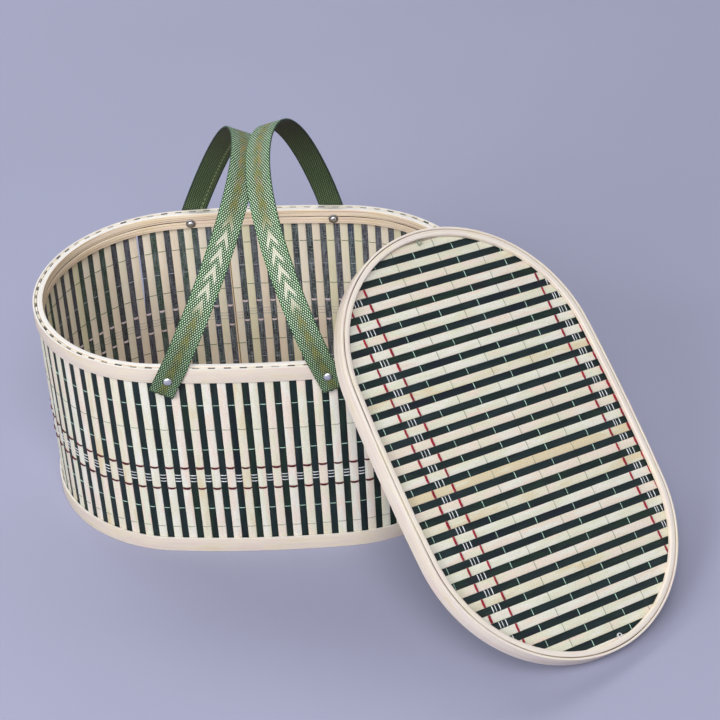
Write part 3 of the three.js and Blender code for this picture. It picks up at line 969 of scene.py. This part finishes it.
def tuft(along, across, wander):
    """A few loose curls where a row's thread was tied off: run, place across and depth."""
    for _ in range(CURLS):
        start, size = wander.uniform(0, 2 * math.pi), wander.uniform(*CURL_SIZES) * MM
        reach = wander.uniform(-CURL_REACH, CURL_REACH) * MM
        curl = []
        for i in range(CURL_POINTS):
            share = i / (CURL_POINTS - 1)
            bend = start + share * wander.uniform(*CURL_BENDS)
            x = along + reach * share + size * math.cos(bend)
            y = across + size * math.sin(bend) * CURL_SQUASH
            curl.append((x, y, -(CURL_HEIGHT + CURL_RISE * math.sin(math.pi * share)) * MM))
        yield curl


def add_threads(mat, body, seed, kinds, thickness, crossed, point, tufts):
    """Weaves each kind of thread through a mat as one piece. The mat gives the slats that a row
    crosses, and the point at a run, a place across and a depth under the slats' faces."""
    dark_step, wander = bpy.context.scene.slat_sizes.dark_step, random.Random(seed)
    for kind, finish, over_dark, sag, rows in kinds:
        paths = []
        for place, radius in strands(kind, rows):
            path = []
            for start, width, dark in crossed(place):
                step, outside = (dark_step if dark else 0), dark == over_dark
                spots = weave(start, width, step, thickness, radius, sag * MM, outside, wander)
                path += [(point(run, place + rise, depth), side) for run, rise, depth, side in spots]
            paths.append((radius, path))
        if kind in tufts:
            for curl in tuft(*tufts[kind], wander):
                paths.append((CURL_RADIUS, [(point(*spot), 0) for spot in curl]))
        name, node = f"{mat}_{kind}_thread", f"{mat}_slat_mat"
        add_piece(name, tubes(paths), finish, body, "slat_bamboo", node, smooth=180)


class BASKET_OT_wall_threads(Operator):
    """Weave the threads through the slats of the wall"""

    bl_idname = "basket.wall_threads"
    bl_label = "Wall threads"

    def execute(self, context):
        basket, sizes, _, _, _ = settings()
        oval, inset = oval_of(basket), mat_inset(basket)
        slats, girth = wall_slats(oval, sizes, inset), oval.girth(inset)

        def point(run, height, depth):
            spot = oval.spot(run, inset, depth)
            around = (run - slats[0][0]) / girth - 0.5
            return Vector((spot.x, spot.y, height + around * CLIMB))

        add_threads("wall", "basket", 21, WALL_THREADS, sizes.thickness, lambda _: slats, point, {})
        return {"FINISHED"}


# Rounding of the long edges, in metres
BAND_EDGE, STRIP_EDGE, FOOT_EDGE, RING_EDGE, WEBBING_EDGE = 0.0004, 0.0005, 0.0007, 0.0009, 0.00055


def bend_strips(body, oval, first, strips, place=Matrix()):
    """Bends strips of wood round an oval, each with a place of its own in the grain."""
    for i, (name, node, finish, slot, shape, marks) in enumerate(strips):
        bm = hoop(oval, *shape, start=first + 1000 * i, **marks)
        bmesh.ops.transform(bm, matrix=place, verts=bm.verts)
        add_piece(name, bm, finish, body, slot, node)


class BASKET_OT_bands(Operator):
    """Bend the bands and strips round the rim and the foot, and lay the base"""

    bl_idname = "basket.bands"
    bl_label = "Bands and base"

    def execute(self, context):
        basket, slats, _, _, _ = settings()
        oval, gap, tall = oval_of(basket), basket.seat_gap, basket.height
        inner = mat_inset(basket) + slats.thickness + gap
        band, strip = basket.band_thickness, basket.strip_thickness
        rim, foot, each = basket.top_band_height, basket.bottom_band_height, basket.strip_height
        outer_wood, inner_wood = ("band_bamboo", "pale_bamboo"), ("strip_bamboo", "inner_bamboo")
        foot_strip = (basket.foot_thickness, basket.panel_thickness + gap, basket.foot_height)
        bend_strips("basket", oval, 0, [
            ("rim_band", "top_outer_band", *outer_wood, (0, band, tall - rim, rim, BAND_EDGE), {}),
            ("foot_band", "bottom_outer_band", *outer_wood, (0, band, 0, foot, BAND_EDGE), {}),
            ("rim_strip_upper", "rim_inner_strip_upper", *inner_wood,
             (inner, strip, tall - each, each, STRIP_EDGE), {}),
            # The lower strip's top is painted with the shade of the crack under the upper strip
            ("rim_strip_lower", "rim_inner_strip_lower", *inner_wood,
             (inner, strip, tall - gap - 2 * each, each, STRIP_EDGE), {"top": -1}),
            ("foot_strip", "bottom_inner_strip", *inner_wood, (inner, *foot_strip, FOOT_EDGE), {}),
        ])
        board = panel(oval, inner, basket.panel_thickness)
        add_piece("base_board_panel", board, "base_board", "basket", "board", "base_panel")
        return {"FINISHED"}


# How deep the webbing's cut ends are worn, in millimetres, and how fast that goes up and down
# across them, in radians a metre
WORN, WORN_WAVES = 0.35, 1300


class BASKET_OT_handles(Operator):
    """Arch the two webbing handles over the basket"""

    bl_idname = "basket.handles"
    bl_label = "Handles"

    def execute(self, context):
        sizes = context.scene.handle_sizes
        right_lean = (sizes.right_front + sizes.right_back) / 2
        under = sizes.thickness + sizes.pass_gap + sizes.width / 2 * math.sin(right_lean)
        self.strap("left", -1, sizes.left_front, sizes.left_back, under)
        self.strap("right", 1, sizes.right_front, sizes.right_back, 0)
        return {"FINISHED"}

    def strap(self, name, side, front, back, tuck, stations=220):
        basket, _, sizes, _, _ = settings()
        reach, half = strap_reach(), sizes.width / 2
        line = arch_line(reach, sizes, sizes.crest - tuck, tuck)
        marks = [0.0, *accumulate((b - a).length for a, b in zip(line, line[1:]))]
        total = marks[-1]
        bm = bar((total, sizes.thickness, sizes.width), WEBBING_EDGE, stations)
        widthwise = [
            e for e in bm.edges if abs((e.verts[0].co - e.verts[1].co).z) > sizes.width * 0.7
        ]
        bmesh.ops.subdivide_edges(bm, edges=widthwise, cuts=7, use_grid_fill=True)
        inner = bm.faces.layers.float.new("inner")
        lift, seam, cut = (bm.verts.layers.float.new(key) for key in ("lift", "seam", "cut"))
        for face in bm.faces:
            face[inner] = float(face.calc_center_median().y > sizes.thickness * 0.5)
        lay_grain(bm, lambda co: co.x, lambda co: side * (half - co.z))
        height = basket.height - sizes.rivet_drop
        for vert in bm.verts:
            across = vert.co.z - half
            first, last = vert.co.x < MM, vert.co.x > total - MM
            vert[cut] = float(first or last)
            worn = WORN * MM * (1 + math.sin(across * WORN_WAVES + side)) * (first - last)
            spot, normal = along_line(line, marks, vert.co.x + worn)
            spot = spot + normal * (sizes.thickness / 2 - vert.co.y)
            vert[lift] = max(0.0, spot.y / sizes.crest)
            vert[seam] = float(side < 0 and spot.x > 0)
            share = max(0.0, min(1.0, (spot.x + reach) / (2 * reach)))
            lean = front + (back - front) * share * share * (3 - 2 * share)
            vert.co = (
                side * sizes.rivet_spread + across * math.cos(lean) - side * spot.y * math.tan(lean),
                spot.x,
                height + spot.y + side * across * math.sin(lean),
            )
        if bm.calc_volume(signed=True) < 0:
            bmesh.ops.reverse_faces(bm, faces=bm.faces)
        body = name + "_handle"
        add_piece(name + "_webbing", bm, "green_webbing", body, "webbing", body + "_strap")


def strap_reach():
    """From the basket's middle to the middle of a strap's straight leg."""
    basket, _, sizes, _, _ = settings()
    sweep = math.hypot(sizes.end, sizes.width / 2)
    wall = oval_of(basket).reach(sizes.rivet_spread - sweep, 0)
    return wall + basket.seat_gap + sizes.thickness / 2


def arch_line(reach, sizes, crest, tuck, steps=400):
    """The middle line of a handle seen from the side, from its front end to its back end."""
    line = [Vector((-reach, -sizes.end))]
    for i in range(steps + 1):
        swing = math.pi * i / steps
        lift = max(math.sin(swing), 0.0)
        y = -(reach - tuck * lift) * math.cos(swing)
        line.append(Vector((y, sizes.rise + (crest - sizes.rise) * lift ** (4 / 3))))
    line.append(Vector((reach, -sizes.end)))
    return line


def along_line(line, marks, distance):
    """The point at a distance along a line, and the way its outer side faces."""
    low = max(0, min(bisect_right(marks, distance) - 1, len(marks) - 2))
    a, b = line[low], line[low + 1]
    share = (distance - marks[low]) / (marks[low + 1] - marks[low])
    before, after = line[max(low - 2, 0)], line[min(low + 3, len(line) - 1)]
    way = (after - before).normalized()
    return a + (b - a) * share, Vector((-way.y, way.x))


# In metres, the radius of a rivet's shank and its clearance in the washer, the rounding of
# edges, the radius and height of a rivet's tail, and the shares of these in the tail's outline
SHANK, CLEARANCE, EDGE, TAIL_RADIUS, TAIL_HEIGHT = 0.0015, 0.0003, 0.0003, 0.0023, 0.0011
TAIL = ((0, 1), (0.35, 0.96), (0.65, 0.8), (0.88, 0.5), (1, 0.15), (1, 0))


class BASKET_OT_rivets(Operator):
    """Set a rivet and its washer at each end of each handle"""

    bl_idname = "basket.rivets"
    bl_label = "Rivets"

    def execute(self, context):
        basket, slats, sizes, _, _ = settings()
        gap, rim, bore = basket.seat_gap, sizes.washer_radius, SHANK + CLEARANCE
        head = strap_reach() + sizes.thickness / 2 + gap
        inset = mat_inset(basket) + slats.thickness + gap + basket.strip_thickness
        washer = oval_of(basket).reach(sizes.rivet_spread + rim, inset) - gap
        near = washer - sizes.washer_thickness
        tail = near - gap
        radius, rise = sizes.head_radius, sizes.head_height
        dome = [
            (radius * math.cos(a), head + EDGE + (rise - EDGE) * math.sin(a))
            for a in (math.pi / 2 * i / 12 for i in range(1, 12))
        ]
        rivet = [
            *((TAIL_RADIUS * across, tail - TAIL_HEIGHT * down) for across, down in TAIL),
            (SHANK, tail),
            (SHANK, head),
            (radius - EDGE / 2, head),
            (radius, head + EDGE / 2),
            *dome,
            (0, head + rise),
        ]
        ring = [
            (bore, near),
            (rim - EDGE * 2, near),
            (rim - EDGE, near + EDGE * 0.4),
            (rim, near + EDGE * 1.4),
            (rim, washer),
            (bore, washer),
            (bore, near),
        ]
        height = basket.height - sizes.rivet_drop
        for side_name, side in (("left", -1), ("right", 1)):
            for end_name, turn in (("front", math.pi), ("back", 0)):
                spot = Matrix.Translation((side * sizes.rivet_spread, 0, height))
                spot = spot @ Matrix.Rotation(turn, 4, "Z")
                for what, profile in (("rivet", rivet), ("washer", ring)):
                    end = f"{side_name}_{end_name}"
                    name, node = f"{end}_steel_{what}", f"{end}_{what}"
                    bm = turned(profile)
                    bmesh.ops.transform(bm, matrix=spot, verts=bm.verts)
                    add_piece(name, bm, what + "_steel", "basket", "steel", node)
        return {"FINISHED"}


class BASKET_OT_lid(Operator):
    """Bend the lid's band and rings and lay its slats"""

    bl_idname = "basket.lid"
    bl_label = "Lid"

    def execute(self, context):
        basket, _, _, lid, _ = settings()
        oval, place, inset = oval_of(lid), lid_matrix(), mat_inset(lid)
        upper, lower, ring = lid.drop - basket.seat_gap, lid.ring_height, lid.ring_width
        foot = -lid.drop - lid.thickness - basket.seat_gap - lower
        # The lid's band and rings get a fainter painted highlight on their top faces
        wood, band, highlit_top = "lid_bamboo", lid.band_height, {"top": 0.3}
        bend_strips("lid", oval, 7000, [
            ("lid_band", "lid_outer_band", wood, "pale_bamboo",
             (0, lid.band_thickness, -band, band, BAND_EDGE), highlit_top),
            # The upper ring's outer top corner is painted with the shade of the crack beside the
            # band
            ("lid_ring_upper", "lid_upper_ring", wood, "pale_bamboo",
             (inset, ring, -upper, upper, RING_EDGE), {**highlit_top, "crack_shade": 0.8}),
            ("lid_ring_lower", "lid_lower_ring", wood, "inner_bamboo",
             (inset, ring, foot, lower, RING_EDGE), highlit_top),
        ], place)
        self.slats(oval, place, inset, lid)
        return {"FINISHED"}

    def slats(self, oval, place, inset, lid):
        sizes = bpy.context.scene.slat_sizes
        mats = (SlatMat(31), SlatMat(32))
        for start, width, dark in lid_slats(lid, sizes, inset):
            centre = start + width / 2
            half = lid_half_across(oval, inset, abs(centre))
            step = sizes.dark_step if dark else 0
            master = slat_master(width, lid.thickness - 2 * step, 2 * half)
            mat = mats[dark]
            bow, snug = mat.slack(width)

            def spot(co):
                x = centre + co.x * snug + bow * math.sin(math.pi * co.z / (2 * half))
                y = (co.z / half - 1) * lid_half_across(oval, inset, abs(centre + co.x))
                return place @ Vector((x, y, -lid.drop - step - co.y))

            tan = not dark and abs(centre - lid.tan_slat) < lid.pitch / 2
            mat.add(master, spot, TAN_SHADE if tan else None)
            bpy.data.meshes.remove(master)
        add_mats(mats, "lid", ("lid_cream_slats", "dark_slats"), "lid", "lid_slat_mat")


# Room between the lid's last slats and its band
END_ROOM = 0.3 * MM


def lid_slats(lid, slats, inset):
    """Start, width and kind of each slat across the lid, from one end to the other."""
    dark_width = lid.pitch - lid.cream_width - 2 * slats.gap
    count = math.ceil(lid.half_length / lid.pitch) + 1
    room = lid.half_length - inset - END_ROOM
    found = []
    for i in range(-count, count + 1):
        cream = lid.shift + i * lid.pitch
        found += [(cream, lid.cream_width, False), (cream + lid.pitch / 2, dark_width, True)]
    return [(at - width / 2, width, dark) for at, width, dark in found if abs(at) + width / 2 < room]


def lid_half_across(oval, inset, along):
    """Half of the lid's width inside an inset, at a place along it."""
    _, radius, centre = oval.arcs[1]
    if along <= centre.x:
        return oval.reach(along, inset)
    over = (radius - inset) ** 2 - (along - centre.x) ** 2
    return math.sqrt(over) if over > 0 else 0.0


class BASKET_OT_lid_threads(Operator):
    """Weave the threads through the slats of the lid"""

    bl_idname = "basket.lid_threads"
    bl_label = "Lid threads"

    def execute(self, context):
        _, sizes, _, lid, _ = settings()
        oval, inset, matrix = oval_of(lid), mat_inset(lid), lid_matrix()
        slats = lid_slats(lid, sizes, inset)

        def crossed(across):
            for start, width, dark in slats:
                end = abs(start + width / 2) + width / 2
                if lid_half_across(oval, inset + MM, end) > abs(across):
                    yield start, width, dark

        def point(along, across, depth):
            return matrix @ Vector((along, across, -lid.drop - depth))

        add_threads("lid", "lid", 41, LID_THREADS, lid.thickness, crossed, point, TUFTS)
        return {"FINISHED"}


# The area lamps: place, size and power. They all aim at one point of the basket
LAMPS = {
    "front_light": ((0.2, -1.9, 2.2), 1.4, 42.0),
    "left_light": ((-1.3, -2.0, 1.5), 1.2, 44.0),
    "right_light": ((2.4, -0.4, 0.9), 0.9, 6.0),
    "back_light": ((0.1, 1.6, 2.0), 1.6, 18.0),
    "back_left_light": ((-1.2, 1.3, 2.0), 1.2, 22.0),
}
LAMPS_AIM = Vector((0.08, -0.05, 0.08))
# The camera: place, lens in millimetres, and yaw, pitch and roll in degrees
CAMERA_PLACE = Vector((0.1236, -1.2431, 0.9731))
CAMERA_LENS, CAMERA_ANGLES = 99.98, (-2.244, 35.276, -3.161)
# Distances over which the floor turns into the plain backdrop
FLOOR_FADE = (1.1, 2.2)


class BASKET_OT_stage(Operator):
    """Set up the floor, the soft studio light and the camera"""

    bl_idname = "basket.stage"
    bl_label = "Stage"

    def execute(self, context):
        scene = context.scene
        scene.view_settings.view_transform = "Standard"
        pale = scene.basket_colours.floor
        self.floor(pale)
        self.world(scene, pale)
        for name, (spot, size, power) in LAMPS.items():
            light = bpy.data.lights.new(name, "AREA")
            light.size, light.energy = size, power
            lamp = add_object(name, light)
            lamp.location = spot
            aim = LAMPS_AIM - lamp.location
            lamp.rotation_euler = aim.to_track_quat("-Z", "Y").to_euler()
        self.camera(scene)
        return {"FINISHED"}

    def floor(self, pale):
        bm = bmesh.new()
        bmesh.ops.create_circle(bm, cap_ends=True, segments=96, radius=6)
        floor = add_object("studio_floor", to_mesh("studio_floor", bm))
        paint = Paint("studio_floor")
        place = paint.place()
        cloud = paint.noise(place, 2.0, scale=3.0)
        body = paint.mix(cloud.step(0.2, 0.8), shifted(pale, 0.98), shifted(pale, 1.02))
        paint.put(Base_Color=body, Roughness=0.9)
        away = paint.node("ShaderNodeVectorMath", {"operation": "LENGTH"}, {0: place}, "Value")
        glow = paint.node("ShaderNodeEmission", {}, {"Color": pale}, "Emission")
        paint.backdrop(away.step(*FLOOR_FADE), glow)
        floor.data.materials.append(paint.owner)

    def world(self, scene, pale):
        scene.world = bpy.data.worlds.new("studio")
        paint = Paint(scene.world, "Background")
        paint.put(Color=(0.86, 0.87, 0.92), Strength=0.05)
        plain = paint.node("ShaderNodeBackground", {}, {"Color": pale, "Strength": 1.0})
        paint.backdrop(1, plain)

    def camera(self, scene):
        """The camera stands where the photograph was taken from."""
        lens = bpy.data.cameras.new("camera")
        lens.lens, lens.sensor_width = CAMERA_LENS, 36.0
        lens.clip_start, lens.clip_end = 0.01, 100.0
        camera = add_object("camera", lens)
        yaw, pitch, roll = (math.radians(a) for a in CAMERA_ANGLES)
        turns = ((-yaw, "Z"), (math.pi / 2 - pitch, "X"), (roll, "Z"))
        matrix = Matrix.Translation(CAMERA_PLACE)
        for turn, axis in turns:
            matrix = matrix @ Matrix.Rotation(turn, 4, axis)
        camera.matrix_world = matrix
        scene.camera = camera


class BASKET_PT_panel(Panel):
    """Lists the basket's operators and sizes"""

    bl_label = "Slatted basket"
    bl_idname = "BASKET_PT_panel"
    bl_space_type = "VIEW_3D"
    bl_region_type = "UI"
    bl_category = "Basket"

    def draw(self, context):
        for operator in OPERATORS:
            self.layout.operator(operator.bl_idname)
        for group in (getattr(context.scene, name) for name in GROUPS):
            box = self.layout.box()
            for key in group.bl_rna.properties.keys():
                if key not in {"rna_type", "name"}:
                    box.prop(group, key)


GROUPS = {
    "basket_sizes": BasketSizes,
    "slat_sizes": SlatSizes,
    "handle_sizes": HandleSizes,
    "lid_sizes": LidSizes,
    "basket_colours": BasketColours,
}
OPERATORS = [
    BASKET_OT_materials,
    BASKET_OT_wall,
    BASKET_OT_wall_threads,
    BASKET_OT_bands,
    BASKET_OT_handles,
    BASKET_OT_rivets,
    BASKET_OT_lid,
    BASKET_OT_lid_threads,
    BASKET_OT_stage,
]

CLASSES = (*GROUPS.values(), *OPERATORS, BASKET_PT_panel)


def register():
    for group in CLASSES:
        bpy.utils.register_class(group)
    for name, group in GROUPS.items():
        setattr(bpy.types.Scene, name, PointerProperty(type=group))


def unregister():
    for name in GROUPS:
        delattr(bpy.types.Scene, name)
    for group in reversed(CLASSES):
        bpy.utils.unregister_class(group)


def main():
    register()
    for operator in OPERATORS:
        group, name = operator.bl_idname.split(".")
        getattr(getattr(bpy.ops, group), name)()


if __name__ == "__main__":
    main()
